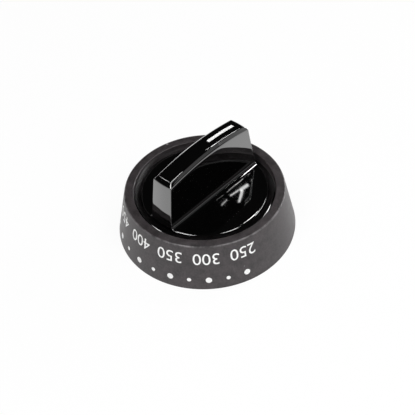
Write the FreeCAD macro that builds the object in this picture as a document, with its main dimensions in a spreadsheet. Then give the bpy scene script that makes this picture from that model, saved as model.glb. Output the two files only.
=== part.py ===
import FreeCAD, Part
import math
import os
import re
import Sketcher
from FreeCAD import Placement, Rotation, Vector

# Oven control knob: a matte printed skirt, a gloss core with the finger bar, and a spring clip
# on the core's boss. The origin is on the shaft axis in the plane of the skirt's base, +Z runs up
# through the bar, and the bar lies along Y with its pointer at the +Y end.

# Driving sizes, in millimetres, degrees or pieces.
SIZES = {
    # skirt
    "base_diameter": 70.0,
    "rim_diameter": 62.0,
    "skirt_height": 19.2,
    "rim_width": 3.6,
    "rim_thickness": 3.6,
    "seat_width": 1.9,
    "skirt_wall": 2.4,
    "rim_edge": 0.4,
    "base_edge": 0.3,
    "catch_count": 4,
    "catch_angle": 16.0,
    "catch_overlap": 0.6,
    "catch_height": 3.0,
    "catch_lip": 0.75,
    "catch_clearance": 0.1,
    "key_width": 3.0,
    "key_cover": 0.5,
    "key_clearance": 0.15,
    "rib_bite": 0.8,
    # core, seen from above
    "flange_thickness": 2.2,
    "flange_clearance": 0.2,
    "trough_width": 2.65,
    "trough_flat": 0.45,
    "hub_draft": 8.0,
    "deck_drop": 1.0,
    "deck_edge_radius": 0.45,
    "grip_height": 40.6,
    "grip_width": 8.6,
    "grip_draft": 2.0,
    "grip_root_radius": 1.7,
    "crown_radius": 100.0,
    "bevel": 1.25,
    "pointer_length": 13.85,
    "pointer_width": 1.25,
    "pointer_depth": 0.3,
    "pointer_setback": 3.9,
    # core, seen from below
    "deck_thickness": 2.4,
    "hub_wall": 2.2,
    "grip_wall": 1.7,
    "grip_end_wall": 2.2,
    "grip_top_wall": 3.0,
    "hollow_to_boss": 0.8,
    "shaft_diameter": 6.35,
    "shaft_flat_depth": 1.55,
    "shaft_clearance": 0.1,
    "socket_depth": 16.0,
    "boss_wall": 3.2,
    "boss_recess": 1.0,
    "boss_slot_width": 1.2,
    "boss_slot_rise": 1.5,
    "bead_height": 1.0,
    "bead_rise": 0.3,
    "web_count": 4,
    "web_thickness": 1.6,
    "web_above_clip": 1.0,
    # spring clip
    "clip_thickness": 0.7,
    "clip_height": 5.0,
    "clip_gap_angle": 30.0,
    "clip_clearance": 0.1,
    "clip_edge_radius": 0.15,
}

# Places that follow from the sizes. Names that end in _r are distances from the axis, in _z heights.
PLACES = {
    "base_r": "base_diameter / 2",
    "rim_r": "rim_diameter / 2",
    "opening_r": "rim_r - rim_width",
    "seat_z": "skirt_height - rim_thickness",
    "seat_r": "opening_r + seat_width",
    "base_inner_r": "base_r - skirt_wall",
    "wall_slope": "(base_inner_r - seat_r) / seat_z",
    "flange_z": "seat_z - flange_thickness",
    "flange_r": "seat_r - flange_clearance + min(0; wall_slope * flange_thickness)",
    "catch_top_z": "flange_z - catch_clearance",
    "catch_low_z": "catch_top_z - catch_height",
    "catch_tip_r": "flange_r - catch_overlap",
    "key_r": "opening_r + key_cover",
    "deck_z": "skirt_height - deck_drop",
    "deck_under_z": "deck_z - deck_thickness",
    "hub_root_r": "opening_r - trough_width",
    "cove_r": "min(trough_width - trough_flat; deck_z - seat_z - deck_edge_radius)",
    "hub_lean": "tan(hub_draft * 1 deg)",
    "blank_z": "grip_height + bevel",
    "blank_top_r": "hub_root_r - (blank_z - seat_z) * hub_lean",
    "grip_end": "hub_root_r - (grip_height - seat_z) * hub_lean",
    "end_z": "grip_height - grip_end * grip_end / (2 * crown_radius)",
    "end_r": "hub_root_r - (end_z - seat_z) * hub_lean",
    "grip_lean": "tan(grip_draft * 1 deg)",
    "bar_half_top": "grip_width / 2 - bevel * grip_lean",
    "bar_half_root": "grip_width / 2 + (grip_height - deck_z) * grip_lean",
    "crown_centre_z": "grip_height - crown_radius",
    "pointer_far": "grip_end - pointer_setback",
    "pointer_near": "pointer_far - pointer_length",
    "hub_inner_r": "hub_root_r - hub_wall",
    "bore_r": "(shaft_diameter + shaft_clearance) / 2",
    "flat_y": "shaft_diameter / 2 - shaft_flat_depth + shaft_clearance / 2",
    "boss_r": "bore_r + boss_wall",
    "clip_seat_r": "boss_r - clip_thickness",
    "bead_top_z": "boss_recess + bead_height",
    "clip_low_z": "bead_top_z + clip_clearance",
    "clip_top_z": "clip_low_z + clip_height",
    "hollow_near": "boss_r + hollow_to_boss",
    "hollow_far": "grip_end - grip_end_wall",
    "hollow_half": "grip_width / 2 - grip_wall",
    "hollow_top_z": "end_z - grip_top_wall",
    "clip_inner_r": "clip_seat_r + clip_clearance",
}

FULL_TURN = 360.0

doc = FreeCAD.newDocument("oven_control_knob")
sheet = doc.addObject("Spreadsheet::Sheet", "Sizes")
for row, (alias, value) in enumerate(SIZES.items(), start=1):
    sheet.set(f"A{row}", alias)
    sheet.set(f"B{row}", str(value))
    sheet.setAlias(f"B{row}", alias)
readings = doc.addObject("Spreadsheet::Sheet", "Readings")
doc.recompute()


def formula(text):
    """Turns words of SIZES and PLACES into an expression on the sheet's cells."""
    def link(word):
        name = word.group()
        if name in PLACES:
            return f"({formula(PLACES[name])})"
        return f"Sizes.{name}" if name in SIZES else name
    return re.sub(r"[a-z_]+", link, text)


def place(text):
    """The number that a place has now, worked out by a cell of the second sheet."""
    readings.set("A1", "=" + formula(text))
    readings.recompute()
    return float(readings.get("A1"))


def new_body(label):
    """Starts a sub-part whose label names its node."""
    body = doc.addObject("PartDesign::Body", label)
    body.Label = label
    return body


def new_sketch(body, name, plane, height=None, turn=None):
    """Lays a sketch on one of the body's own planes, raised to a height or turned about Z."""
    sketch = body.newObject("Sketcher::SketchObject", name)
    support = next(item for item in body.Origin.OriginFeatures if item.Role == plane)
    sketch.AttachmentSupport = [(support, "")]
    sketch.MapMode = "FlatFace"
    if height:
        sketch.setExpression("AttachmentOffset.Base.z", formula(height))
    if turn:
        sketch.AttachmentOffset = Placement(Vector(), Rotation(Vector(0, 1, 0), turn))
    return sketch


def hold(sketch, kind, *where, size):
    """Adds a dimension to a sketch and ties it to the sheet."""
    number = sketch.addConstraint(Sketcher.Constraint(kind, *where, place(size)))
    sketch.setExpression(f"Constraints[{number}]", formula(size))


def hold_point(sketch, edge, end, across, up):
    """Ties one point of a sketch, by its two distances from the sketch's origin."""
    for kind, axis, size in (("DistanceX", -2, across), ("DistanceY", -1, up)):
        if size == "0":
            sketch.addConstraint(Sketcher.Constraint("PointOnObject", edge, end, axis))
        else:
            hold(sketch, kind, -1, 1, edge, end, size=size)


def draw_outline(sketch, corners):
    """Draws a closed outline of straight edges with every corner tied to the sheet."""
    first = sketch.GeometryCount
    count = len(corners)
    start = [Vector(math.cos(math.tau * n / count), math.sin(math.tau * n / count), 0) for n in range(count)]
    for n in range(count):
        sketch.addGeometry(Part.LineSegment(start[n - 1], start[n]))
    for n in range(count):
        sketch.addConstraint(Sketcher.Constraint("Coincident", first + n, 2, first + (n + 1) % count, 1))
    for n, (across, up) in enumerate(corners):
        hold_point(sketch, first + n, 1, across, up)


def draw_rectangle(sketch, left, right, low, high):
    """Draws a rectangle between four distances from the sketch's origin."""
    draw_outline(sketch, [(left, low), (right, low), (right, high), (left, high)])


def draw_above_crown(sketch, radius, near_end, far_end):
    """Draws the region above an arc about the crown's centre, between two distances along the bar."""
    circle = Part.Circle(Vector(0, place("crown_centre_z"), 0), Vector(0, 0, 1), place(radius))
    top_z = place("blank_z + bevel")
    far_top, near_top = (Vector(place(end), top_z, 0) for end in (far_end, near_end))
    far_turn, near_turn = (math.acos(point.x / circle.Radius) for point in (far_top, near_top))
    arc = sketch.addGeometry(Part.ArcOfCircle(circle, far_turn, near_turn))
    far_side = sketch.addGeometry(Part.LineSegment(circle.value(far_turn), far_top))
    top = sketch.addGeometry(Part.LineSegment(far_top, near_top))
    near_side = sketch.addGeometry(Part.LineSegment(near_top, circle.value(near_turn)))
    for edge, end, other, other_end in ((arc, 1, far_side, 1), (far_side, 2, top, 1),
                                        (top, 2, near_side, 1), (near_side, 2, arc, 2)):
        sketch.addConstraint(Sketcher.Constraint("Coincident", edge, end, other, other_end))
    hold_point(sketch, arc, 3, "0", "crown_centre_z")
    hold(sketch, "Radius", arc, size=radius)
    hold_point(sketch, top, 1, far_end, "blank_z + bevel")
    hold_point(sketch, top, 2, near_end, "blank_z + bevel")
    sketch.addConstraint(Sketcher.Constraint("Vertical", far_side))
    sketch.addConstraint(Sketcher.Constraint("Vertical", near_side))


def sweep_round(body, kind, sketch, name, angle=None, axis="V_Axis"):
    """Revolves a sketch about an axis of its own, all round or over an angle centred on the sketch."""
    feature = body.newObject(f"PartDesign::{kind}", name)
    feature.Profile = sketch
    feature.ReferenceAxis = (sketch, [axis])
    feature.Angle = FULL_TURN
    if angle:
        feature.Midplane = True
        feature.setExpression("Angle", formula(angle))
    return finish(body, feature)


def extrude(body, kind, sketch, name, length=None, symmetric=False, upwards=False):
    """Pads or pockets a sketch, by a length or right through."""
    feature = body.newObject(f"PartDesign::{kind}", name)
    feature.Profile = sketch
    feature.SideType = "Symmetric" if symmetric else "One side"
    feature.Reversed = upwards == (kind == "Pocket")
    if length:
        feature.setExpression("Length", formula(length))
    else:
        feature.Type = "ThroughAll"
    return finish(body, feature)


def repeat_round(body, feature, name, count):
    """Copies a feature round the knob's axis."""
    pattern = body.newObject("PartDesign::PolarPattern", name)
    pattern.Originals = [feature]
    pattern.Axis = (feature.Profile[0], ["V_Axis"])
    pattern.Angle = FULL_TURN
    pattern.setExpression("Occurrences", formula(count))
    body.Tip = pattern
    return finish(body, pattern)


def dress(body, kind, name, size, wanted):
    """Fillets or chamfers those edges of the body that pass the test."""
    base = body.Tip
    names = [f"Edge{n}" for n, edge in enumerate(base.Shape.Edges, start=1) if wanted(edge)]
    feature = body.newObject(f"PartDesign::{kind}", name)
    feature.Base = (base, names)
    feature.setExpression("Size" if kind == "Chamfer" else "Radius", formula(size))
    return finish(body, feature)


def finish(body, feature):
    """Recomputes and stops at once where a feature failed or changed nothing."""
    before = feature.BaseFeature.Shape.Volume if feature.BaseFeature else 0.0
    doc.recompute()
    if "Invalid" in feature.State or "Error" in feature.State or not feature.Shape.isValid():
        raise RuntimeError(f"{body.Label}: {feature.Name} failed")
    if math.isclose(before, feature.Shape.Volume, rel_tol=1e-9):
        raise RuntimeError(f"{body.Label}: {feature.Name} changed nothing")
    return feature


def near(value, target):
    return math.isclose(value, target, abs_tol=1e-4)


def is_ring(edge, radius, height):
    """True for a round edge about the knob's axis at that radius and height."""
    return (isinstance(edge.Curve, Part.Circle) and near(edge.Curve.Radius, radius)
            and near(edge.Curve.Center.z, height) and near(edge.Curve.Center.x, 0))


def make_dial_skirt():
    """The printed skirt: a flared ring with a flat rim, the core's seat under the rim, catches and a key."""
    body = new_body("dial_skirt")
    section = new_sketch(body, "skirt_section", "XZ_Plane")
    draw_outline(section, [
        ("base_r", "0"),
        ("rim_r", "skirt_height"),
        ("opening_r", "skirt_height"),
        ("opening_r", "seat_z"),
        ("seat_r", "seat_z"),
        ("base_inner_r", "0"),
    ])
    sweep_round(body, "Revolution", section, "skirt_ring")

    rim_z = place("skirt_height")
    rim_radii = (place("rim_r"), place("opening_r"))
    dress(body, "Chamfer", "rim_edges", "rim_edge",
          lambda edge: any(is_ring(edge, radius, rim_z) for radius in rim_radii))
    base_r = place("base_r")
    dress(body, "Chamfer", "base_edge", "base_edge", lambda edge: is_ring(edge, base_r, 0))

    catch = new_sketch(body, "catch_section", "XZ_Plane", turn=FULL_TURN / SIZES["catch_count"] / 2)
    in_wall = "seat_r + wall_slope * (seat_z - {}) + rib_bite"
    draw_outline(catch, [
        (in_wall.format("catch_top_z"), "catch_top_z"),
        ("catch_tip_r", "catch_top_z"),
        ("catch_tip_r", "catch_top_z - catch_lip"),
        (in_wall.format("catch_low_z"), "catch_low_z"),
    ])
    first_catch = sweep_round(body, "Revolution", catch, "catch", "catch_angle")
    repeat_round(body, first_catch, "catches", "catch_count")

    key = new_sketch(body, "key_outline", "XY_Plane", "seat_z")
    draw_rectangle(key, "-key_width / 2", "key_width / 2", "key_r", "seat_r + rib_bite")
    extrude(body, "Pad", key, "key", "flange_thickness")
    return body


def make_grip_knob():
    """The gloss core: finger bar, decks, trough and flange above, boss, webs and hollows below."""
    body = new_body("grip_knob")
    section = new_sketch(body, "core_section", "XZ_Plane")
    draw_outline(section, [
        ("0", "flange_z"),
        ("flange_r", "flange_z"),
        ("flange_r", "seat_z"),
        ("hub_root_r", "seat_z"),
        ("blank_top_r", "blank_z"),
        ("0", "blank_z"),
    ])
    sweep_round(body, "Revolution", section, "core_blank")

    sides = new_sketch(body, "bar_section", "XZ_Plane")
    for side in ("", "-"):
        draw_outline(sides, [
            (f"{side}(bar_half_top)", "blank_z"),
            (f"{side}(bar_half_root)", "deck_z"),
            (f"{side}(flange_r)", "deck_z"),
            (f"{side}(flange_r)", "blank_z"),
        ])
    extrude(body, "Pocket", sides, "bar_sides", symmetric=True)

    round_edges(body)
    shape_bar_top(body)
    cut_pointer_groove(body)
    hollow_underside(body)
    add_boss(body)
    add_webs(body)
    cut_key_notch(body)
    return body


def round_edges(body):
    """Rounds the bar's root, the decks' rims with the bar's upright corners, and the trough."""
    deck_z = place("deck_z")
    root_x = place("bar_half_root")
    dress(body, "Fillet", "bar_root", "grip_root_radius",
          lambda edge: near(edge.BoundBox.ZLength, 0) and near(edge.CenterOfMass.z, deck_z)
          and near(abs(edge.CenterOfMass.x), root_x))

    seat_z = place("seat_z")
    blank_z = place("blank_z")
    hub_wall = [face for face in body.Tip.Shape.Faces if isinstance(face.Surface, Part.Cone)]
    hub_edges = [edge for face in hub_wall for edge in face.Edges]
    dress(body, "Fillet", "deck_rims", "deck_edge_radius",
          lambda edge: any(edge.isSame(other) for other in hub_edges)
          and not near(edge.CenterOfMass.z, seat_z) and not near(edge.CenterOfMass.z, blank_z))

    hub_root_r = place("hub_root_r")
    dress(body, "Fillet", "trough_cove", "cove_r",
          lambda edge: is_ring(edge, hub_root_r, seat_z))


def shape_bar_top(body):
    """Crowns the bar's top, then bevels its long edges along the crown and its ends round the hub."""
    crown = new_sketch(body, "crown_profile", "YZ_Plane")
    draw_above_crown(crown, "crown_radius", "-flange_r", "flange_r")
    extrude(body, "Pocket", crown, "crown", symmetric=True)

    sides = new_sketch(body, "side_bevel_section", "XZ_Plane")
    for side in ("", "-"):
        draw_outline(sides, [
            (f"{side}(grip_width / 2 - bevel * 2)", "grip_height + bevel"),
            (f"{side}(grip_width / 2 + bevel)", "grip_height - bevel * 2"),
            (f"{side}(grip_width / 2 + bevel)", "grip_height + bevel"),
        ])
    axis = sides.addGeometry(Part.LineSegment(Vector(-1, -1, 0), Vector(1, -1, 0)), True)
    hold_point(sides, axis, 1, "-grip_width", "crown_centre_z")
    hold_point(sides, axis, 2, "grip_width", "crown_centre_z")
    sweep_round(body, "Groove", sides, "side_bevels", "2 * atan(flange_r / crown_radius)", axis="Axis0")

    ends = new_sketch(body, "end_bevel_section", "XZ_Plane")
    draw_outline(ends, [
        ("end_r - bevel * 3", "end_z + bevel * 2"),
        ("end_r + bevel", "end_z - bevel * 2"),
        ("end_r + bevel", "end_z + bevel * 2"),
    ])
    sweep_round(body, "Groove", ends, "end_bevels")


def cut_pointer_groove(body):
    """A shallow groove for the pointer's paint, whose floor follows the crown."""
    groove = new_sketch(body, "pointer_profile", "YZ_Plane")
    draw_above_crown(groove, "crown_radius - pointer_depth", "pointer_near", "pointer_far")
    extrude(body, "Pocket", groove, "pointer_groove", "pointer_width", symmetric=True)


def hollow_underside(body):
    """Opens the hub from below, and cores the bar on both sides of the boss."""
    hub = new_sketch(body, "hub_hollow_section", "XZ_Plane")
    draw_outline(hub, [("boss_r", "flange_z"), ("hub_inner_r", "flange_z"),
                       ("hub_inner_r", "deck_under_z"), ("boss_r", "deck_under_z")])
    sweep_round(body, "Groove", hub, "hub_hollow")
    bar = new_sketch(body, "bar_hollow_outline", "XY_Plane", "flange_z")
    draw_rectangle(bar, "-hollow_half", "hollow_half", "hollow_near", "hollow_far")
    draw_rectangle(bar, "-hollow_half", "hollow_half", "-hollow_far", "-hollow_near")
    extrude(body, "Pocket", bar, "bar_hollow", "hollow_top_z - flange_z", upwards=True)


def add_boss(body):
    """The boss with its clip seat and end bead, the D socket and the slots that let it spring."""
    section = new_sketch(body, "boss_section", "XZ_Plane")
    draw_outline(section, [
        ("0", "deck_under_z"),
        ("boss_r", "deck_under_z"),
        ("boss_r", "clip_top_z"),
        ("clip_seat_r", "clip_top_z"),
        ("clip_seat_r", "bead_top_z"),
        ("clip_seat_r + bead_rise", "bead_top_z - bead_rise"),
        ("clip_seat_r", "boss_recess"),
        ("0", "boss_recess"),
    ])
    sweep_round(body, "Revolution", section, "boss")

    socket = new_sketch(body, "socket_outline", "XY_Plane", "boss_recess")
    bore = SIZES["shaft_diameter"] / 2
    flat_rise = math.asin(1 - SIZES["shaft_flat_depth"] / bore)
    circle = Part.Circle(Vector(), Vector(0, 0, 1), bore)
    wall = socket.addGeometry(Part.ArcOfCircle(circle, math.pi - flat_rise, math.tau + flat_rise))
    flat = socket.addGeometry(Part.LineSegment(circle.value(flat_rise), circle.value(math.pi - flat_rise)))
    socket.addConstraint(Sketcher.Constraint("Coincident", wall, 3, -1, 1))
    socket.addConstraint(Sketcher.Constraint("Coincident", wall, 2, flat, 1))
    socket.addConstraint(Sketcher.Constraint("Coincident", flat, 2, wall, 1))
    socket.addConstraint(Sketcher.Constraint("Horizontal", flat))
    hold(socket, "Radius", wall, size="bore_r")
    hold(socket, "DistanceY", -1, 1, flat, 1, size="flat_y")
    extrude(body, "Pocket", socket, "shaft_socket", "socket_depth", upwards=True)

    slot = new_sketch(body, "boss_slot_outline", "XY_Plane", "boss_recess")
    draw_rectangle(slot, "-hollow_near", "hollow_near", "-boss_slot_width / 2", "boss_slot_width / 2")
    extrude(body, "Pocket", slot, "boss_slots", "clip_top_z + boss_slot_rise - boss_recess", upwards=True)


def add_webs(body):
    """Four upright webs between the boss and the hub wall."""
    web = new_sketch(body, "web_profile", "XZ_Plane", turn=FULL_TURN / SIZES["web_count"] / 2)
    draw_outline(web, [
        ("boss_r - rib_bite", "deck_under_z + rib_bite"),
        ("boss_r - rib_bite", "clip_top_z + web_above_clip"),
        ("hub_inner_r + rib_bite", "flange_z"),
        ("hub_inner_r + rib_bite", "deck_under_z"),
        ("hub_inner_r", "deck_under_z + rib_bite"),
    ])
    first_web = extrude(body, "Pad", web, "web", "web_thickness", symmetric=True)
    repeat_round(body, first_web, "webs", "web_count")


def cut_key_notch(body):
    """The notch in the flange that the skirt's key stands in."""
    notch = new_sketch(body, "key_notch_outline", "XY_Plane", "flange_z")
    draw_rectangle(notch, "-key_width / 2 - key_clearance", "key_width / 2 + key_clearance",
                   "key_r - key_clearance", "flange_r + seat_width")
    extrude(body, "Pocket", notch, "key_notch", "flange_thickness", upwards=True)


def make_shaft_spring_clip():
    """An open spring steel band round the boss, up against the boss's shoulder."""
    body = new_body("shaft_spring_clip")
    section = new_sketch(body, "band_section", "XZ_Plane")
    draw_outline(section, [
        ("clip_inner_r", "clip_low_z"),
        ("clip_inner_r + clip_thickness", "clip_low_z"),
        ("clip_inner_r + clip_thickness", "clip_top_z"),
        ("clip_inner_r", "clip_top_z"),
    ])
    sweep_round(body, "Revolution", section, "band", f"{FULL_TURN} - clip_gap_angle")
    dress(body, "Fillet", "band_edges", "clip_edge_radius",
          lambda edge: not isinstance(edge.Curve, Part.Circle))
    return body


def check_and_write(bodies):
    """Stops if anything in the document failed, then writes each sub-part."""
    doc.recompute()
    for item in doc.Objects:
        if "Invalid" in item.State or "Error" in item.State:
            raise RuntimeError(f"{item.Name} failed")
    for body in bodies:
        if body.Shape.isNull() or not body.Shape.isValid():
            raise RuntimeError(f"{body.Label} has no valid shape")
    os.makedirs("parts", exist_ok=True)
    for body in bodies:
        body.Shape.exportStep(f"parts/{body.Label}.step")
        print(body.Label, round(body.Shape.Volume, 2), body.Shape.BoundBox)


check_and_write([make_dial_skirt(), make_grip_knob(), make_shaft_spring_clip()])
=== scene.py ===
import math
import bmesh
import bpy
from mathutils import Matrix, Quaternion, Vector


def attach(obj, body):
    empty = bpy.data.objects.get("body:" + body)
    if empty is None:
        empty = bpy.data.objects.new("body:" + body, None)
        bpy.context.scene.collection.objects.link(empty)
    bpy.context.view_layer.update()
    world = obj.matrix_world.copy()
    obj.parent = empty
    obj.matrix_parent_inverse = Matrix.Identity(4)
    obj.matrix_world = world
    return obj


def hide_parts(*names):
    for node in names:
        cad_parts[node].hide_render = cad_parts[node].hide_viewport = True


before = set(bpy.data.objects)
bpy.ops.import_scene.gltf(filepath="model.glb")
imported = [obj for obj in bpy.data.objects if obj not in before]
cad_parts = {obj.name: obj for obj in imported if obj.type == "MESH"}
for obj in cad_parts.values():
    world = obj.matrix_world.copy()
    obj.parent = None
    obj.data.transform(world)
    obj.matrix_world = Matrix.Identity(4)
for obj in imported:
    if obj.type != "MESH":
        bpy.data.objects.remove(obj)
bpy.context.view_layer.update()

MM = 0.001

# Camera: one look from the front right and above, as the photograph has it.
LOOK_AT = Vector((0, 0, 12 * MM))
CAMERA_DISTANCE = 400 * MM
CAMERA_BEARING = math.radians(45.8)
CAMERA_ELEVATION = math.radians(44.67)
CAMERA_ROLL = math.radians(-4.47)
CAMERA_LENS = 89.1
CAMERA_SHIFT = (0.0046, -0.0158)

# The skirt's outline, in millimetres from the shaft axis and the base.
BASE_RADIUS = 35.0
RIM_RADIUS = 31.0
SKIRT_HEIGHT = 19.2
OPENING_RADIUS = 27.4
SEAT_RADIUS = 29.3
SEAT_HEIGHT = 15.6
BASE_INNER_RADIUS = 32.6
SKIRT_LEAN = math.atan2(BASE_RADIUS - RIM_RADIUS, SKIRT_HEIGHT)
RIM_ROUND = 0.45
OPENING_ROUND = 0.4
BASE_ROUND = 0.35
BASE_INNER_ROUND = 0.3

# Inside the skirt: the catches under the core's flange, and the key that stops it from turning.
CATCH_COUNT = 4
CATCH_BEARING = 45
CATCH_SWEEP = 16
CATCH_SECTION = ((30.1, 13.3), (28.5, 13.3), (28.5, 12.55), (30.75, 10.3))
KEY_HALF_WIDTH = 1.5
KEY_NEAR = 27.9
KEY_FAR = 30.0
KEY_FOOT = 13.4
KEY_TOP = 15.9

# The core's outline.
FLANGE_RADIUS = 29.1
FLANGE_UNDER = 13.4
HUB_ROOT_RADIUS = 24.75
HUB_TAPER = math.tan(math.radians(8))
COVE_RADIUS = 2.15
DECK_HEIGHT = 18.2
GRIP_HEIGHT = 40.6
GRIP_HALF_WIDTH = 4.3
GRIP_LEAN = math.radians(2)
ROOT_RADIUS = 1.7
CROWN_RADIUS = 100.0
BEVEL = 1.25
END_BEVEL_LOW = (21.758, 36.92)
END_BEVEL_HIGH = (20.09, 38.57)
FLANK_MIDDLE = 29.0
FLANK_MIDDLE_AT_END = 28.0
POINTER_NEAR = 3.5
POINTER_FAR = 17.35
POINTER_HALF_WIDTH = 0.625
POINTER_DEPTH = 0.3
POINTER_CORNER = 0.28
PAINT_BELOW_TOP = 0.03
PAINT_IN_GROOVE = 0.01

# Underneath the core: its hollows, the webs, and the boss with the seat of the clip and the shaft's socket.
HOLLOW_FOOT = 12.0
HOLLOW_ROOF = 15.8
HOLLOW_RADIUS = 22.55
BAR_HOLLOW_HALF_WIDTH = 2.5
BAR_HOLLOW_NEAR = 7.2
BAR_HOLLOW_FAR = 19.04
BAR_HOLLOW_ROOF = 35.3
BOSS_RADIUS = 6.425
BOSS_FOOT = 1.0
BOSS_TOP = 16.3
LIP_RADIUS = 6.025
LIP_HEIGHT = 1.7
CLIP_SEAT_RADIUS = 5.725
CLIP_SEAT_FOOT = 2.0
CLIP_SEAT_TOP = 7.1
WEB_HALF_WIDTH = 0.8
WEB_REACH = 23.0
WEB_INNER_REACH = 5.6
WEB_INNER_FOOT = 8.1
SOCKET_RADIUS = 3.225
SOCKET_FLAT = 1.675
SOCKET_ROOF = 17.0
SLOT_HALF_WIDTH = 0.6
SLOT_REACH = 8.0
SLOT_ROOF = 8.6
NOTCH_HALF_WIDTH = 1.65
NOTCH_NEAR = 27.75

# Rows of vertices beside an edge of the core's cage, which set how round the edge comes out.
EDGE_ROOM = 0.8
CORNER_ROOM = 0.35
BEVEL_ROOM = 0.6
BESIDE_EDGE = 0.9

# How far the crown has risen beside its end, and the steps in half of a deck's rim and round the skirt.
CROWN_EDGE_RISE = 0.06
RIM_STEPS = 15
SKIRT_STEPS = 288

# The scale on the skirt: the number at each bearing from +X, anticlockwise seen from above.
SCALE_NUMBERS = {"250": -21.0, "300": -46.0, "350": -71.0, "400": -96.0, "450": -121.0, "500": -146.0,
                 "OFF": 90.0}
SCALE_STEP = 25.0
NUMBER_SIZE = 7.0
NUMBER_TURN = -0.7
NUMBER_SLANT = 14.2
NUMBER_REACH = 7.5
NUMBER_CUT = 0.5
DOT_SLANT = 4.4
LARGE_DOT_RADIUS = 1.2
SMALL_DOT_RADIUS = 0.8
INK_LIFT = 0.012
INK_THICKNESS = 0.03

# The white table: its size and its top in metres, and how much of the knob's shadow shows on it.
TABLE_SIZE = 6
TABLE_TOP = -0.00002
SHADOW_SHARE = 0.06

# Wear on the skirt: scuffs, and a nick in the rim's edge whose dark spots are painted shade, as no dent is
# modelled. Each mark's place, the distances where it is whole and gone, its strength and shade.
NICK_PAINTED_SHADE = (0.012, 0.011, 0.011, 1)
SCUFF_SHADE = (0.30, 0.29, 0.29, 1)
SKIRT_MARKS = (((16.9, -25.2, 19.15), 0.2, 0.8, 0.6, NICK_PAINTED_SHADE),
               ((18.0, -24.5, 19.15), 0.3, 1.0, 0.85, NICK_PAINTED_SHADE),
               ((19.0, -23.8, 19.15), 0.3, 0.9, 0.85, NICK_PAINTED_SHADE),
               ((-28.9, 9.0, 19.2), 0.25, 0.7, 0.8, SCUFF_SHADE),
               ((31.0, -12.7, 7.26), 0.15, 0.4, 0.3, SCUFF_SHADE))


class Value:
    """A number on a socket of a finish's nodes, for sums written as plain expressions."""

    def __init__(self, finish, socket):
        self.finish = finish
        self.socket = socket

    def sum(self, operation, first, second):
        return self.finish.node("Math", {"operation": operation}, {0: first, 1: second})

    def __add__(self, other):
        return self.sum("ADD", self, other)

    def __sub__(self, other):
        return self.sum("SUBTRACT", self, other)

    def __rsub__(self, other):
        return self.sum("SUBTRACT", other, self)

    def __mul__(self, other):
        return self.sum("MULTIPLY", self, other)


class Finish:
    """A material that is built up node by node."""

    def __init__(self, name, owner=None):
        self.block = owner or bpy.data.materials.new(name)
        self.block.use_nodes = True
        self.tree = self.block.node_tree
        self.tree.nodes.clear()

    def node(self, kind, settings=None, sockets=None, output=0):
        """Adds one node: its settings first, then the values or links of its sockets."""
        made = self.tree.nodes.new("ShaderNode" + kind)
        for name, value in (settings or {}).items():
            setattr(made, name, value)
        for name, value in (sockets or {}).items():
            if isinstance(value, Value):
                self.tree.links.new(value.socket, made.inputs[name])
            else:
                made.inputs[name].default_value = value
        return Value(self, made.outputs[output]) if len(made.outputs) else made


def add(operator, name, **settings):
    """Adds a primitive with nothing else selected."""
    bpy.ops.object.select_all(action="DESELECT")
    operator(**settings)
    piece = bpy.context.object
    piece.name = name
    piece.data.name = name
    return piece


def edit(piece, kind="VERT"):
    """Opens a piece for shaping, with nothing of it selected."""
    bpy.ops.object.select_all(action="DESELECT")
    piece.select_set(True)
    bpy.context.view_layer.objects.active = piece
    bpy.ops.object.mode_set(mode="EDIT")
    bpy.ops.mesh.select_mode(type=kind)
    bpy.ops.mesh.select_all(action="DESELECT")


def leave():
    bpy.ops.object.mode_set(mode="OBJECT")


def pick_edges(piece, test):
    """Selects the edges whose two ends both pass a test of their radius and height in millimetres."""
    bpy.ops.mesh.select_mode(type="EDGE")
    bpy.ops.mesh.select_all(action="DESELECT")
    shape = bmesh.from_edit_mesh(piece.data)
    for edge in shape.edges:
        if all(test(end.co.xy.length / MM, end.co.z / MM) for end in edge.verts):
            edge.select_set(True)
    bmesh.update_edit_mesh(piece.data)


def at(radius, height, room=0.02):
    return lambda r, z: abs(r - radius) < room and abs(z - height) < room


def tidy_faces():
    bpy.ops.mesh.select_all(action="SELECT")
    bpy.ops.mesh.remove_doubles(threshold=0.001 * MM)
    bpy.ops.mesh.normals_make_consistent(inside=False)


def turned(name, section, steps, start=0.0, sweep=360.0):
    """A solid turned about the shaft axis from the corners of its section, as (radius, height)."""
    piece = add(bpy.ops.mesh.primitive_circle_add, name, vertices=len(section), radius=MM)
    turn = math.radians(start)
    for corner, (radius, height) in zip(piece.data.vertices, section):
        corner.co = Vector((radius * math.cos(turn), radius * math.sin(turn), height)) * MM
    edit(piece)
    bpy.ops.mesh.select_all(action="SELECT")
    bpy.ops.mesh.spin(steps=steps, angle=math.radians(sweep), center=(0, 0, 0), axis=(0, 0, 1))
    tidy_faces()
    if sweep < 360:
        bpy.ops.mesh.select_all(action="DESELECT")
        bpy.ops.mesh.select_non_manifold()
        bpy.ops.mesh.fill()
        tidy_faces()
    leave()
    return piece


def block(name, low, high):
    """A block between two corners in millimetres."""
    low, high = Vector(low), Vector(high)
    piece = add(bpy.ops.mesh.primitive_cube_add, name, size=1)
    edit(piece)
    bpy.ops.mesh.select_all(action="SELECT")
    bpy.ops.transform.resize(value=(high - low) * MM)
    bpy.ops.transform.translate(value=(low + high) / 2 * MM)
    leave()
    return piece


def combine(piece, tool, operation, solver="EXACT"):
    """Joins a second solid to a piece or cuts it out of it."""
    change = piece.modifiers.new("change", "BOOLEAN")
    change.object = tool
    change.operation = operation
    change.solver = solver
    bpy.ops.object.select_all(action="DESELECT")
    piece.select_set(True)
    bpy.context.view_layer.objects.active = piece
    bpy.ops.object.modifier_apply(modifier=change.name)
    bpy.data.objects.remove(tool)


def turn_about(piece, degrees):
    """Turns a piece's mesh about the shaft axis."""
    edit(piece)
    bpy.ops.mesh.select_all(action="SELECT")
    bpy.ops.transform.rotate(value=math.radians(degrees), orient_axis="Z", center_override=(0, 0, 0))
    leave()


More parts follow.
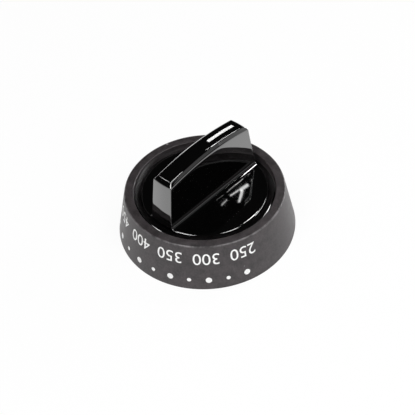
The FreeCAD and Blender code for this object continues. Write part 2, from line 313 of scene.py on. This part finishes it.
def prism(name, outline, low, high):
    """A solid with its outline in the X-Z plane, between two places along Y."""
    piece = add(bpy.ops.mesh.primitive_circle_add, name, vertices=len(outline), radius=MM, fill_type="NGON")
    for corner, (x, z) in zip(piece.data.vertices, outline):
        corner.co = Vector((x, low, z)) * MM
    edit(piece)
    bpy.ops.mesh.select_all(action="SELECT")
    bpy.ops.mesh.extrude_region_move(TRANSFORM_OT_translate={"value": (0, (high - low) * MM, 0)})
    tidy_faces()
    leave()
    return piece


def smooth(piece, degrees):
    """Smooth shading up to an angle, with flat faces left flat beside their rounded edges."""
    bpy.ops.object.select_all(action="DESELECT")
    piece.select_set(True)
    bpy.context.view_layer.objects.active = piece
    bpy.ops.object.shade_smooth_by_angle(angle=math.radians(degrees))
    weight = piece.modifiers.new("weight", "WEIGHTED_NORMAL")
    weight.keep_sharp = True
    bpy.ops.object.modifier_apply(modifier=weight.name)


def finish_piece(piece, material, node=None):
    """Gives a piece its material and its place in the frame."""
    piece.data.materials.clear()
    piece.data.materials.append(material)
    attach(piece, "root")
    if node:
        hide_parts(node)


def turn_skirt(material):
    """The matte skirt: a flared ring with a flat rim, and the catches and the key inside."""
    section = [(BASE_RADIUS, 0), (RIM_RADIUS, SKIRT_HEIGHT), (OPENING_RADIUS, SKIRT_HEIGHT),
               (OPENING_RADIUS, SEAT_HEIGHT), (SEAT_RADIUS, SEAT_HEIGHT), (BASE_INNER_RADIUS, 0)]
    skirt = turned("matte_skirt", section, SKIRT_STEPS)
    edit(skirt)
    for radius, height, size in ((RIM_RADIUS, SKIRT_HEIGHT, RIM_ROUND),
                                 (OPENING_RADIUS, SKIRT_HEIGHT, OPENING_ROUND),
                                 (BASE_RADIUS, 0, BASE_ROUND),
                                 (BASE_INNER_RADIUS, 0, BASE_INNER_ROUND)):
        pick_edges(skirt, at(radius, height))
        bpy.ops.mesh.bevel(offset=size * MM, segments=4, profile=0.5, affect="EDGES")
    tidy_faces()
    leave()
    for number in range(CATCH_COUNT):
        start = CATCH_BEARING + 360 / CATCH_COUNT * number - CATCH_SWEEP / 2
        combine(skirt, turned("catch", CATCH_SECTION, 8, start, CATCH_SWEEP), "UNION", "MANIFOLD")
    key = block("key", (-KEY_HALF_WIDTH, KEY_NEAR, KEY_FOOT), (KEY_HALF_WIDTH, KEY_FAR, KEY_TOP))
    combine(skirt, key, "UNION", "MANIFOLD")
    smooth(skirt, 32)
    finish_piece(skirt, material, "dial_skirt")


def crown_drop(along):
    """How far the bar's crowned top has fallen at a place along the bar."""
    return CROWN_RADIUS - math.sqrt(CROWN_RADIUS ** 2 - along ** 2)


def hub_radius(height):
    return HUB_ROOT_RADIUS - (height - SEAT_HEIGHT) * HUB_TAPER


def flank(height):
    """Half the bar's width at a height."""
    return GRIP_HALF_WIDTH + (GRIP_HEIGHT - height) * math.tan(GRIP_LEAN)


def arc(centre, radius, first, last, count):
    """Points of an arc from its first to its last angle in degrees."""
    angles = [math.radians(first + (last - first) * step / count) for step in range(count + 1)]
    return [(centre[0] + radius * math.cos(angle), centre[1] + radius * math.sin(angle)) for angle in angles]


def root_centre():
    """How far from the bar's middle plane the rounding of its root is centred."""
    return flank(DECK_HEIGHT + ROOT_RADIUS) + ROOT_RADIUS / math.cos(GRIP_LEAN)


def bar_point(level, across, along):
    """A point of the bar's cage, from a level and the point's shares of the way across and along it.

    A level is (half width, height amid the bar, end radius, height at the end).
    """
    half, height, end_radius, end_height = level

    def inside(value, far):
        if abs(value) == BESIDE_EDGE:
            return math.copysign(far - CORNER_ROOM, value)
        return value * (far if abs(value) == 1 else far - CORNER_ROOM)

    if abs(across) == 1:
        corner = math.sqrt(end_radius ** 2 - (half or flank(end_height)) ** 2)
        y = inside(along, corner)
        z = height - (height - end_height) * (y / corner) ** 2
        x = inside(across, half or flank(z))
    else:
        z = end_height
        x = inside(across, half or flank(z))
        y = math.copysign(math.sqrt(end_radius ** 2 - x ** 2), along)
    return Vector((x, y, z)) * MM


def grow_hub():
    """The flange, the trough's cove and the hub's wall, ring by ring up to the deck, left in edit mode."""
    cove_centre = hub_radius(SEAT_HEIGHT + COVE_RADIUS) + COVE_RADIUS / math.cos(math.atan(HUB_TAPER))
    rim = hub_radius(DECK_HEIGHT)
    corner_turn = math.degrees(math.acos(root_centre() / rim))
    end_turn = math.degrees(math.acos((root_centre() - CORNER_ROOM) / rim))
    side = [corner_turn * (step / RIM_STEPS - 1) for step in range(2 * RIM_STEPS + 1)]
    turns = side + [end_turn, 90, 180 - end_turn]
    turns = [math.radians(turn + half) for half in (0, 180) for turn in turns]
    core = add(bpy.ops.mesh.primitive_circle_add, "gloss_core", vertices=len(turns),
               radius=FLANGE_RADIUS * MM)
    for vertex, turn in zip(core.data.vertices, turns):
        x, y = FLANGE_RADIUS * math.cos(turn), FLANGE_RADIUS * math.sin(turn)
        vertex.co = Vector((x, y, FLANGE_UNDER)) * MM
    below_deck = DECK_HEIGHT - EDGE_ROOM * 0.8
    rings = [(FLANGE_RADIUS, FLANGE_UNDER), (FLANGE_RADIUS, SEAT_HEIGHT), (cove_centre + 0.5, SEAT_HEIGHT)]
    rings += arc((cove_centre, SEAT_HEIGHT + COVE_RADIUS), COVE_RADIUS, 270, 188, 4)
    rings += [(hub_radius(below_deck), below_deck), (rim, DECK_HEIGHT)]
    edit(core)
    bpy.ops.mesh.select_all(action="SELECT")
    bpy.ops.mesh.edge_face_add()
    pick_edges(core, at(FLANGE_RADIUS, FLANGE_UNDER))
    for (radius, height), (next_radius, next_height) in zip(rings, rings[1:]):
        bpy.ops.mesh.extrude_edges_move(TRANSFORM_OT_translate={"value": (0, 0, (next_height - height) * MM)})
        grow = next_radius / radius
        bpy.ops.transform.resize(value=(grow, grow, 1), center_override=(0, 0, 0))
    return core


def lay_decks(core):
    """The two decks: a strip inside each half of the rim, two rows along the bar's root and one flat face.

    The points round the bar's root keep their shares of the way across and along it.
    """
    along_steps = (0.7, 0.35, 0.0, -0.35, -0.7)
    chord_x = root_centre()
    rim = hub_radius(DECK_HEIGHT)
    corner = math.sqrt(rim ** 2 - chord_x ** 2)
    shape = bmesh.from_edit_mesh(core.data)
    across = shape.verts.layers.float.new("across")
    along = shape.verts.layers.float.new("along")
    ring = [vertex for vertex in shape.verts if vertex.select]
    ring.sort(key=lambda vertex: math.atan2(vertex.co.y, vertex.co.x))
    for direction in (1, -1):
        edge_row = [vertex for vertex in ring if vertex.co.x * direction > (chord_x - 0.01) * MM]
        inner = []
        for vertex in edge_row:
            place = vertex.co.copy()
            place.xy *= (rim - EDGE_ROOM) / rim
            inner.append(shape.verts.new(place))
        edge_row.sort(key=lambda vertex: vertex.co.y)
        inner.sort(key=lambda vertex: vertex.co.y)
        for end, sign in ((0, -1), (-1, 1)):
            inner[end].co = Vector((chord_x * direction, (corner - EDGE_ROOM) * sign, DECK_HEIGHT)) * MM
            inner[end][across], inner[end][along] = direction, sign * BESIDE_EDGE
            edge_row[end][across], edge_row[end][along] = direction, sign
        for low, high, inner_low, inner_high in zip(edge_row, edge_row[1:], inner, inner[1:]):
            shape.faces.new((low, high, inner_high, inner_low))
        chord = []
        beside = []
        for step in along_steps:
            place = Vector((chord_x * direction, (corner - EDGE_ROOM) * step, DECK_HEIGHT)) * MM
            vertex = shape.verts.new(place)
            vertex[across], vertex[along] = direction, step
            chord.append(vertex)
            place.x += EDGE_ROOM * direction * MM
            beside.append(shape.verts.new(place))
        chord = [inner[-1]] + chord + [inner[0]]
        line = [inner[-2]] + beside + [inner[1]]
        for first, second, third, fourth in zip(chord, chord[1:], line[1:], line):
            shape.faces.new((first, second, third, fourth))
        shape.faces.new(inner[1:-1] + beside)
    for vertex in ring:
        if abs(vertex.co.x) < (chord_x - 0.01) * MM:
            vertex[along] = math.copysign(1, vertex.co.y)
            vertex[across] = math.copysign(BESIDE_EDGE, vertex.co.x) if abs(vertex.co.x) > MM else 0.0
    bmesh.update_edit_mesh(core.data)


def bar_levels():
    """The rows of the bar's cage from its root up: root, flanks, bevels and the edge of the crowned top."""
    root = arc((root_centre(), DECK_HEIGHT + ROOT_RADIUS), ROOT_RADIUS, 270, 182, 4)
    levels = [(half, height, hub_radius(height), height) for half, height in root[1:]]
    foot = DECK_HEIGHT + ROOT_RADIUS + EDGE_ROOM
    levels += [(None, foot, hub_radius(foot), foot),
               (None, FLANK_MIDDLE, hub_radius(FLANK_MIDDLE_AT_END), FLANK_MIDDLE_AT_END)]
    side_high = (GRIP_HALF_WIDTH - BEVEL, GRIP_HEIGHT)
    lean = math.tan(GRIP_LEAN)
    low_half = (GRIP_HALF_WIDTH - side_high[0] * lean) / (1 - lean)
    side_low = (low_half, GRIP_HEIGHT + side_high[0] - low_half)
    end_low, end_high = END_BEVEL_LOW, END_BEVEL_HIGH
    slope = BEVEL_ROOM / math.sqrt(2)
    below = end_low[1] - BEVEL_ROOM
    return levels + [(None, side_low[1] - BEVEL_ROOM, hub_radius(below), below),
                     (*side_low, *end_low),
                     (side_low[0] - slope, side_low[1] + slope, end_low[0] - slope, end_low[1] + slope),
                     (side_high[0] + slope, side_high[1] - slope, end_high[0] + slope, end_high[1] - slope),
                     (*side_high, *end_high),
                     (side_high[0] - BEVEL_ROOM, side_high[1],
                      end_high[0] - BEVEL_ROOM, end_high[1] + CROWN_EDGE_RISE)]


def grow_bar(core):
    """The bar, row by row from the open edge of the decks, closed by a grid over its top."""
    bpy.ops.mesh.select_mode(type="EDGE")
    bpy.ops.mesh.select_all(action="DESELECT")
    shape = bmesh.from_edit_mesh(core.data)
    for edge in shape.edges:
        if edge.is_boundary:
            edge.select_set(True)
    bmesh.update_edit_mesh(core.data)
    for level in bar_levels():
        bpy.ops.mesh.extrude_edges_move()
        shape = bmesh.from_edit_mesh(core.data)
        across, along = shape.verts.layers.float["across"], shape.verts.layers.float["along"]
        for vertex in shape.verts:
            if vertex.select:
                vertex.co = bar_point(level, round(vertex[across], 3), round(vertex[along], 3))
        bmesh.update_edit_mesh(core.data)
    top = {}
    for vertex in shape.verts:
        if vertex.select:
            top[(round(vertex[across], 3), round(vertex[along], 3))] = vertex
    rows = sorted({key[1] for key in top})
    columns = sorted({key[0] for key in top})
    beside_corner = 1 - CORNER_ROOM / (GRIP_HALF_WIDTH - BEVEL)
    for row in rows[1:-1]:
        for column in columns[1:-1]:
            place = top[(1, row)].co.copy()
            place.x *= column if abs(column) < BESIDE_EDGE else math.copysign(beside_corner, column)
            top[(column, row)] = shape.verts.new(place)
    for row, next_row in zip(rows, rows[1:]):
        for column, next_column in zip(columns, columns[1:]):
            shape.faces.new((top[(column, row)], top[(next_column, row)], top[(next_column, next_row)],
                             top[(column, next_row)]))
    bmesh.update_edit_mesh(core.data)


def hollow_core(core):
    """Underneath: the hollow hub and bar, the boss with its webs, slots and D socket, and the key's notch."""
    hollow = [(0, HOLLOW_FOOT), (HOLLOW_RADIUS, HOLLOW_FOOT), (HOLLOW_RADIUS, HOLLOW_ROOF), (0, HOLLOW_ROOF)]
    combine(core, turned("hub_hollow", hollow, 96), "DIFFERENCE")
    for low, high in ((BAR_HOLLOW_NEAR, BAR_HOLLOW_FAR), (-BAR_HOLLOW_FAR, -BAR_HOLLOW_NEAR)):
        hollow = block("bar_hollow", (-BAR_HOLLOW_HALF_WIDTH, low, HOLLOW_FOOT),
                       (BAR_HOLLOW_HALF_WIDTH, high, BAR_HOLLOW_ROOF))
        combine(core, hollow, "DIFFERENCE")
    boss = turned("boss", [(0, BOSS_FOOT), (CLIP_SEAT_RADIUS, BOSS_FOOT), (LIP_RADIUS, LIP_HEIGHT),
                           (CLIP_SEAT_RADIUS, CLIP_SEAT_FOOT), (CLIP_SEAT_RADIUS, CLIP_SEAT_TOP),
                           (BOSS_RADIUS, CLIP_SEAT_TOP), (BOSS_RADIUS, BOSS_TOP), (0, BOSS_TOP)], 64)
    web_outline = [(-WEB_REACH, BOSS_TOP), (-WEB_REACH, FLANGE_UNDER), (-WEB_INNER_REACH, WEB_INNER_FOOT),
                   (WEB_INNER_REACH, WEB_INNER_FOOT), (WEB_REACH, FLANGE_UNDER), (WEB_REACH, BOSS_TOP)]
    for turn in (45, 135):
        web = prism("web", web_outline, -WEB_HALF_WIDTH, WEB_HALF_WIDTH)
        turn_about(web, turn)
        combine(boss, web, "UNION")
    combine(core, boss, "UNION")
    socket = turned("socket", [(0, 0), (SOCKET_RADIUS, 0), (SOCKET_RADIUS, SOCKET_ROOF),
                               (0, SOCKET_ROOF)], 64)
    combine(socket, block("socket_flat", (-5, SOCKET_FLAT, -1), (5, 5, 18)), "DIFFERENCE")
    combine(core, socket, "DIFFERENCE")
    slots = block("boss_slots", (-SLOT_REACH, -SLOT_HALF_WIDTH, 0), (SLOT_REACH, SLOT_HALF_WIDTH, SLOT_ROOF))
    combine(core, slots, "DIFFERENCE")
    notch = block("key_notch", (-NOTCH_HALF_WIDTH, NOTCH_NEAR, HOLLOW_FOOT), (NOTCH_HALF_WIDTH, 31, 17))
    combine(core, notch, "DIFFERENCE")


def mould_core(material, ink):
    """The gloss core: hub and finger bar in one smooth skin, hollow underneath, with the painted pointer."""
    core = grow_hub()
    lay_decks(core)
    grow_bar(core)
    for height in (FLANGE_UNDER, SEAT_HEIGHT):
        pick_edges(core, at(FLANGE_RADIUS, height))
        bpy.ops.transform.edge_crease(value=1)
    tidy_faces()
    leave()
    for label in ("across", "along"):
        core.data.attributes.remove(core.data.attributes[label])
    skin = core.modifiers.new("skin", "SUBSURF")
    skin.levels = skin.render_levels = 3
    bpy.ops.object.modifier_apply(modifier=skin.name)
    hollow_core(core)
    combine(core, pointer_bar("pointer_groove", -POINTER_DEPTH, 2.0, POINTER_HALF_WIDTH), "DIFFERENCE")
    smooth(core, 30)
    finish_piece(core, material, "grip_knob")
    paint = pointer_bar("pointer_paint", -POINTER_DEPTH - PAINT_IN_GROOVE, -PAINT_BELOW_TOP,
                        POINTER_HALF_WIDTH + PAINT_IN_GROOVE)
    smooth(paint, 30)
    finish_piece(paint, ink)


def pointer_bar(name, low, high, half):
    """The pointer's line along the bar's crown, between two heights over it."""
    line = block(name, (-half, POINTER_NEAR, GRIP_HEIGHT + low), (half, POINTER_FAR, GRIP_HEIGHT + high))
    edit(line, "EDGE")
    shape = bmesh.from_edit_mesh(line.data)
    for edge in shape.edges:
        if abs(edge.verts[0].co.z - edge.verts[1].co.z) > 0.1 * MM:
            edge.select_set(True)
    bmesh.update_edit_mesh(line.data)
    bpy.ops.mesh.bevel(offset=POINTER_CORNER * MM, segments=4, profile=0.5, affect="EDGES")
    for step in range(1, int(POINTER_FAR - POINTER_NEAR) + 1):
        bpy.ops.mesh.select_all(action="SELECT")
        bpy.ops.mesh.bisect(plane_co=(0, (POINTER_NEAR + step) * MM, 0), plane_no=(0, 1, 0))
    shape = bmesh.from_edit_mesh(line.data)
    for vertex in shape.verts:
        vertex.co.z -= crown_drop(vertex.co.y / MM) * MM
    bmesh.update_edit_mesh(line.data)
    tidy_faces()
    leave()
    return line


def wrap_on_skirt(piece, bearing, slant):
    """Lays flat print on the skirt's cone, its top towards the wide base, as a thin film of ink."""
    for vertex in piece.data.vertices:
        climb = slant - vertex.co.y / MM
        radius = BASE_RADIUS - climb * math.sin(SKIRT_LEAN) + INK_LIFT
        turn = math.radians(bearing) - vertex.co.x / MM / (BASE_RADIUS - slant * math.sin(SKIRT_LEAN))
        vertex.co = Vector((radius * math.cos(turn), radius * math.sin(turn),
                            climb * math.cos(SKIRT_LEAN))) * MM
    film = piece.modifiers.new("film", "SOLIDIFY")
    film.thickness = INK_THICKNESS * MM
    film.offset = 1
    bpy.ops.object.select_all(action="DESELECT")
    piece.select_set(True)
    bpy.context.view_layer.objects.active = piece
    bpy.ops.object.modifier_apply(modifier=film.name)
    edit(piece)
    tidy_faces()
    leave()


def join(name, pieces):
    bpy.ops.object.select_all(action="DESELECT")
    for piece in pieces:
        piece.select_set(True)
    bpy.context.view_layer.objects.active = pieces[0]
    bpy.ops.object.join()
    pieces[0].name = name
    pieces[0].data.name = name
    return pieces[0]


def print_number(words, bearing):
    """One number of the scale, cut into narrow strips so that it follows the skirt."""
    label = add(bpy.ops.object.text_add, "label")
    label.data.body = words
    label.data.size = NUMBER_SIZE * MM
    label.data.align_x = "CENTER"
    label.data.align_y = "CENTER"
    label.data.resolution_u = 8
    bpy.ops.object.convert(target="MESH")
    label = bpy.context.object
    edit(label)
    bpy.ops.mesh.select_all(action="SELECT")
    bpy.ops.mesh.remove_doubles(threshold=0.002 * MM)
    cuts = round(NUMBER_REACH / NUMBER_CUT)
    for step in range(-cuts, cuts + 1):
        bpy.ops.mesh.select_all(action="SELECT")
        bpy.ops.mesh.bisect(plane_co=(step * NUMBER_CUT * MM, 0, 0), plane_no=(1, 0, 0))
    leave()
    wrap_on_skirt(label, bearing + NUMBER_TURN, NUMBER_SLANT)
    return label


def print_dot(bearing, radius):
    dot = add(bpy.ops.mesh.primitive_circle_add, "dot", vertices=40, radius=radius * MM, fill_type="TRIFAN")
    wrap_on_skirt(dot, bearing, DOT_SLANT)
    return dot


def print_scale(ink):
    """The white scale on the skirt: a number over each large dot, and a small dot between."""
    labels = []
    dots = []
    for words, bearing in SCALE_NUMBERS.items():
        labels.append(print_number(words, bearing))
        dots.append(print_dot(bearing, LARGE_DOT_RADIUS))
        if words.isdigit() and words != "500":
            dots.append(print_dot(bearing - SCALE_STEP / 2, SMALL_DOT_RADIUS))
    for name, pieces in (("scale_numbers", labels), ("scale_dots", dots)):
        finish_piece(join(name, pieces), ink)


def place_camera():
    right = Vector((math.cos(CAMERA_BEARING), math.sin(CAMERA_BEARING), 0))
    back = Vector((math.sin(CAMERA_BEARING) * math.cos(CAMERA_ELEVATION),
                   -math.cos(CAMERA_BEARING) * math.cos(CAMERA_ELEVATION),
                   math.sin(CAMERA_ELEVATION)))
    up = back.cross(right)
    across = right * math.cos(CAMERA_ROLL) + up * math.sin(CAMERA_ROLL)
    upright = up * math.cos(CAMERA_ROLL) - right * math.sin(CAMERA_ROLL)
    data = bpy.data.cameras.new("camera")
    data.sensor_width = 36
    data.lens = CAMERA_LENS
    data.shift_x, data.shift_y = CAMERA_SHIFT
    data.clip_start = 0.01
    camera = bpy.data.objects.new("camera", data)
    bpy.context.scene.collection.objects.link(camera)
    turn = Matrix((across, upright, back)).transposed()
    camera.matrix_world = Matrix.Translation(LOOK_AT + back * CAMERA_DISTANCE) @ turn.to_4x4()
    bpy.context.scene.camera = camera


def softbox(name, bearing, elevation, distance, width, height, power, roll=0.0):
    """A flat lamp that faces the knob; the bearing is taken from the camera's right, anticlockwise."""
    turn = math.radians(bearing) + CAMERA_BEARING
    rise = math.radians(elevation)
    out = Vector((math.cos(turn) * math.cos(rise), math.sin(turn) * math.cos(rise), math.sin(rise)))
    data = bpy.data.lights.new(name, "AREA")
    data.shape = "RECTANGLE"
    data.size, data.size_y = width, height
    data.energy = power
    lamp = bpy.data.objects.new(name, data)
    bpy.context.scene.collection.objects.link(lamp)
    lamp.location = LOOK_AT + out * distance
    lamp.rotation_mode = "QUATERNION"
    lamp.rotation_quaternion = out.to_track_quat("Z", "Y") @ Quaternion((0, 0, 1), math.radians(roll))


def light_room():
    """A dim room that is paler near the horizon, with softboxes round the knob."""
    world = bpy.data.worlds.new("room")
    bpy.context.scene.world = world
    room = Finish("room", world)
    direction = room.node("TexCoord", output="Generated")
    height = room.node("SeparateXYZ", sockets={0: direction}, output="Z")
    glow = eased(room, height, 0.06, 0.40, 0.35, 0.007)
    sky = room.node("Background", sockets={"Color": (1, 1, 1, 1), "Strength": glow})
    room.node("OutputWorld", sockets={"Surface": sky})
    softbox("front_right_softbox", -50, 42, 0.8, 0.30, 0.25, 2.45)
    softbox("front_left_softbox", -129, 42, 0.8, 0.30, 0.25, 2.25)
    softbox("upper_right_softbox", -32, 65, 0.8, 0.25, 0.2, 1.1)
    softbox("upper_left_softbox", -148, 65, 0.8, 0.25, 0.2, 1.1)
    softbox("right_fill", 28, 9, 0.7, 0.40, 0.10, 2.2)
    softbox("right_strip", 45, 48.5, 0.8, 0.06, 0.24, 0.34)
    softbox("right_edge_lamp", 46, 55.2, 0.8, 0.16, 0.05, 0.28)
    softbox("right_panel", 38, 48, 0.8, 0.24, 0.19, 0.5)
    softbox("left_softbox", 168, 52, 0.8, 0.16, 0.16, 0.4)
    softbox("right_card", 9, 22, 0.8, 0.30, 0.28, 0.10)
    softbox("near_card", -15, 34, 0.8, 0.35, 0.13, 0.035)
    softbox("back_softbox", 80, 50, 1.0, 0.05, 0.05, 0.08)

    # A far lamp stand, seen only as a small bright figure in the polished deck.
    softbox("stand_arm", 5.1, 46.6, 1.0, 0.014, 0.0042, 0.0021, -36)
    softbox("stand_arm_end", 4.05, 47.05, 1.0, 0.014, 0.0018, 0.0009, -36)
    softbox("stand_post", 4.8, 47.3, 1.0, 0.018, 0.0038, 0.0024, 99)
    softbox("stand_tail", 2.9, 47.8, 1.0, 0.011, 0.001, 0.0004, 133)
    softbox("frame_top", 6.2, 46.0, 1.0, 0.0046, 0.0016, 0.0003, -10)
    softbox("frame_side", 6.5, 46.8, 1.0, 0.022, 0.0018, 0.0009, 92)
    softbox("frame_foot", 6.3, 47.9, 1.0, 0.010, 0.0016, 0.0002, 132)


def lay_floor():
    """A white table, which the camera and the gloss see as plain white with a faint shadow."""
    floor = add(bpy.ops.mesh.primitive_plane_add, "floor", size=TABLE_SIZE, location=(0, 0, TABLE_TOP))
    white = Finish("white_table")
    seen = white.node("LightPath", output="Is Camera Ray")
    for kind in ("Is Glossy Ray", "Is Transmission Ray"):
        ray = white.node("LightPath", output=kind)
        seen = white.node("Math", {"operation": "MAXIMUM"}, {0: seen, 1: ray})
    table = white.node("BsdfDiffuse", sockets={"Color": (0.86, 0.86, 0.86, 1)})
    glow = white.node("Emission", sockets={"Color": (1, 1, 1, 1), "Strength": 1.0})
    bright = white.node("MixShader", sockets={0: SHADOW_SHARE, 1: glow, 2: table})
    both = white.node("MixShader", sockets={0: seen, 1: table, 2: bright})
    white.node("OutputMaterial", sockets={"Surface": both})
    floor.data.materials.append(white.block)


def noise(finish, place, scale, detail, roughness=0.5):
    return finish.node("TexNoise", sockets={"Vector": place, "Scale": scale, "Detail": detail,
                                            "Roughness": roughness})


def even(finish, value, low, high, first=0.0, last=1.0):
    """Maps a range of a value on another range, evenly."""
    return finish.node("MapRange", sockets={0: value, 1: low, 2: high, 3: first, 4: last})


def eased(finish, value, low, high, first=0.0, last=1.0):
    """Maps a range of a value on another range, easing in and out."""
    return finish.node("MapRange", {"interpolation_type": "SMOOTHSTEP"},
                       {0: value, 1: low, 2: high, 3: first, 4: last})


def blend(finish, amount, first, second):
    """Goes from one colour to another."""
    return finish.node("Mix", {"data_type": "RGBA"}, {0: amount, 6: first, 7: second}, output=2)


def near_place(finish, place, spot, full, none):
    """A soft round mask about a spot in millimetres, whole within one distance and gone beyond another."""
    far = finish.node("VectorMath", {"operation": "DISTANCE"}, {0: place, 1: Vector(spot) * MM},
                      output="Value")
    return eased(finish, far, full * MM, none * MM, 1.0, 0.0)


def surface(finish, colour, rough, relief, strength, depth, constants=None):
    """Ends a finish: its colour, roughness and fine relief, and what is the same all over."""
    bump = finish.node("Bump", sockets={"Strength": strength, "Distance": depth, "Height": relief})
    skin = finish.node("BsdfPrincipled", sockets={"Base Color": colour, "Roughness": rough, "Normal": bump,
                                                  **(constants or {})})
    finish.node("OutputMaterial", sockets={"Surface": skin})
    return finish.block


def skirt_plastic():
    """Charcoal plastic with a fine matt grain, with painted shade on its flat rim, rubbed along its edge
    where a painted highlight lightens it, with marks.
    """
    finish = Finish("skirt_plastic")
    place = finish.node("TexCoord", output="Object")
    grain = noise(finish, place, 1500.0, 4.0, 0.6)
    cloud = noise(finish, place, 280.0, 5.0, 0.65)
    tone = even(finish, cloud * 0.6 + grain * 0.4, 0.36, 0.64)
    colour = blend(finish, tone, (0.016, 0.0134, 0.0143, 1), (0.0575, 0.048, 0.051, 1))
    flat = finish.node("VectorMath", {"operation": "MULTIPLY"}, {0: place, 1: (1, 1, 0)})
    radius = finish.node("VectorMath", {"operation": "LENGTH"}, {0: flat}, output="Value")
    height = finish.node("SeparateXYZ", sockets={0: place}, output="Z")
    edge = (eased(finish, radius, (RIM_RADIUS - 0.55) * MM, (RIM_RADIUS - 0.25) * MM)
            * eased(finish, height, (SKIRT_HEIGHT - 0.65) * MM, (SKIRT_HEIGHT - 0.35) * MM))
    # Painted shade: the flat top of the rim is made darker, standing in for the dimmer light it gets from
    # above.
    top = even(finish, height, (SKIRT_HEIGHT - 0.2) * MM, (SKIRT_HEIGHT - 0.05) * MM, 0.0, 0.2)
    colour = blend(finish, top * (1 - edge), colour, (0.011, 0.0095, 0.010, 1))
    # Painted highlight and wear: the rim's outer edge is lightened to give a highlight line, and the rubbing
    # also makes it smoother.
    rub_and_highlight = edge * even(finish, cloud, 0.4, 0.62, 0.05, 1.0)
    colour = blend(finish, rub_and_highlight * 0.5, colour, (0.21, 0.20, 0.205, 1))
    # Each mark blends in its colour: the nick's dark spots are painted shade, and the scuffs are wear.
    for spot, full, none, amount, shade in SKIRT_MARKS:
        mark = near_place(finish, place, spot, full, none)
        colour = blend(finish, mark * amount, colour, shade)
    rough = even(finish, cloud, 0.3, 0.7, 0.34, 0.5) - rub_and_highlight * 0.12
    return surface(finish, colour, rough, grain, 0.35, 0.00003, {"IOR": 1.55})


def core_plastic():
    """Polished black plastic under a clear skin: the faintest ripple of the mould, and a haze of handling."""
    finish = Finish("core_plastic")
    place = finish.node("TexCoord", output="Object")
    ripple = noise(finish, place, 160.0, 1.0)
    haze = noise(finish, place, 240.0, 3.0, 0.55)
    rough = even(finish, haze, 0.35, 0.75, 0.012, 0.03)
    colour = blend(finish, haze, (0.0005, 0.0005, 0.0005, 1), (0.001, 0.001, 0.001, 1))
    return surface(finish, colour, rough, ripple, 0.05, 0.00001,
                   {"IOR": 1.8, "Coat Weight": 1.0, "Coat Roughness": 0.012, "Coat IOR": 1.9})


def clip_steel():
    """Rolled spring steel, its fine lines running round the band."""
    finish = Finish("clip_steel")
    place = finish.node("TexCoord", output="Object")
    drawn = finish.node("Mapping", sockets={"Vector": place, "Scale": (300.0, 300.0, 9000.0)})
    lines = noise(finish, drawn, 1.0, 3.0)
    rough = even(finish, lines, 0.3, 0.7, 0.24, 0.38)
    colour = blend(finish, lines, (0.48, 0.48, 0.49, 1), (0.62, 0.62, 0.63, 1))
    return surface(finish, colour, rough, lines, 0.3, 0.00001, {"Metallic": 1.0})


def white_ink():
    """White pad print, a touch uneven where the film is thinner."""
    finish = Finish("white_ink")
    place = finish.node("TexCoord", output="Object")
    mottle = noise(finish, place, 1500.0, 4.0, 0.6)
    thin = even(finish, mottle, 0.35, 0.65)
    colour = blend(finish, thin, (0.93, 0.93, 0.92, 1), (0.86, 0.86, 0.855, 1))
    rough = even(finish, mottle, 0.3, 0.7, 0.42, 0.56)
    return surface(finish, colour, rough, mottle, 0.2, 0.00001)


def dress_clip(material):
    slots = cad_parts["shaft_spring_clip"].data.materials
    slots.clear()
    slots.append(material)


place_camera()
light_room()
lay_floor()
ink = white_ink()
turn_skirt(skirt_plastic())
mould_core(core_plastic(), ink)
print_scale(ink)
dress_clip(clip_steel())

bpy.context.scene.view_settings.view_transform = "Standard"
